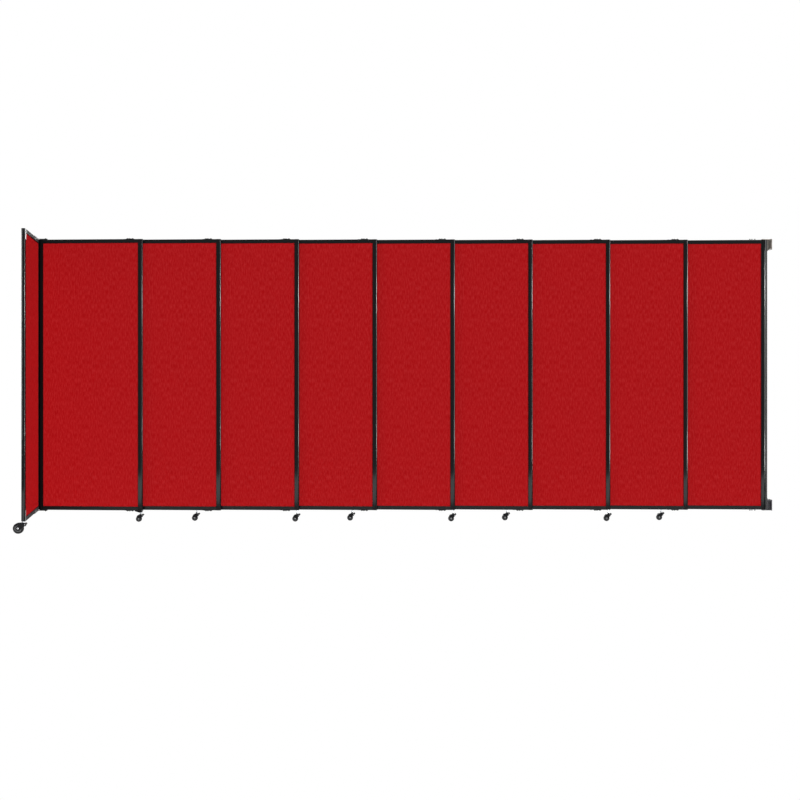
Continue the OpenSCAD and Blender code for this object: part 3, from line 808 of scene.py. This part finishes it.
def whiteWhenSeen(tree, lit, white):
    # the camera, reflections and glass see the white shader, and the object is lit by the other
    rays = addNode(tree, "ShaderNodeLightPath")
    seen = rays.outputs["Is Camera Ray"]
    for kind in ("Is Glossy Ray", "Is Transmission Ray"):
        seen = addNode(tree, "ShaderNodeMath", {"operation": "MAXIMUM"},
                       {0: seen, 1: rays.outputs[kind]}).outputs[0]
    return addNode(tree, "ShaderNodeMixShader", links={0: seen, 1: lit.outputs[0], 2: white.outputs[0]})


def makeStage():
    takeNothing()
    bpy.ops.mesh.primitive_plane_add(size=2 * stage["floorHalf"], location=(0, 0, 0))
    floor = bpy.context.object
    floor.name = "studioFloor"
    material = bpy.data.materials.new("paleFloor")
    material.use_nodes = True
    tree = material.node_tree
    tree.nodes.clear()
    grey = stage["floorGrey"]
    diffuse = addNode(tree, "ShaderNodeBsdfDiffuse", {"Color": (grey, grey, grey, 1)})
    white = addNode(tree, "ShaderNodeEmission", {"Color": (1, 1, 1, 1), "Strength": stage["backdrop"]})
    mixed = whiteWhenSeen(tree, diffuse, white)
    addNode(tree, "ShaderNodeOutputMaterial", links={"Surface": mixed.outputs[0]})
    floor.data.materials.append(material)

    world = bpy.data.worlds.new("studioWorld")
    bpy.context.scene.world = world
    world.use_nodes = True
    tree = world.node_tree
    tree.nodes.clear()
    light, white = [addNode(tree, "ShaderNodeBackground", {"Color": (1, 1, 1, 1), "Strength": strength})
                    for strength in (stage["worldStrength"], stage["backdrop"])]
    mixed = whiteWhenSeen(tree, light, white)
    addNode(tree, "ShaderNodeOutputWorld", links={"Surface": mixed.outputs[0]})


def addSuns():
    # the main one from the front right falls on the panels and on the wing's inner face alike
    for name, (strength, turnDeg, heightDeg, softDeg) in suns.items():
        data = bpy.data.lights.new(name, "SUN")
        data.energy = strength
        data.angle = math.radians(softDeg)
        lamp = bpy.data.objects.new(name, data)
        bpy.context.scene.collection.objects.link(lamp)
        turn, height = math.radians(turnDeg), math.radians(heightDeg)
        flat = math.cos(height)
        towards = Vector((math.cos(turn) * flat, -math.sin(turn) * flat, math.sin(height)))
        lamp.rotation_euler = (-towards).to_track_quat("-Z", "Y").to_euler()


def addSoftboxes():
    for name, (place, width, height, radiance) in softboxes.items():
        data = bpy.data.lights.new(name, "AREA")
        data.shape = "RECTANGLE"
        data.size, data.size_y = width, height
        data.energy = radiance * math.pi * width * height
        lamp = bpy.data.objects.new(name, data)
        bpy.context.scene.collection.objects.link(lamp)
        lamp.location = place
        lamp.rotation_euler = (Vector((0, 0, place[2])) - Vector(place)).to_track_quat("-Z", "Y").to_euler()
        lamp.visible_camera = lamp.visible_diffuse = False


# Camera solved from the photograph: level, at eye height, 8 m from the panels
view = {"sensorMm": 36, "lensMm": 56.65, "picturePx": 800, "shiftPx": -26.9,
        "place": (-0.122, -7.894, 0.962), "yawDeg": 0.71}


def makeCamera():
    data = bpy.data.cameras.new("photoCamera")
    data.sensor_width = view["sensorMm"]
    data.lens = view["lensMm"]
    data.shift_y = view["shiftPx"] / view["picturePx"]
    camera = bpy.data.objects.new("photoCamera", data)
    bpy.context.scene.collection.objects.link(camera)
    camera.location = view["place"]
    camera.rotation_euler = (math.radians(90), 0, -math.radians(view["yawDeg"]))
    bpy.context.scene.camera = camera


makeStage()
makeCamera()
addSuns()
addSoftboxes()
bpy.context.scene.view_settings.view_transform = "Standard"
print("stage, light and camera set")
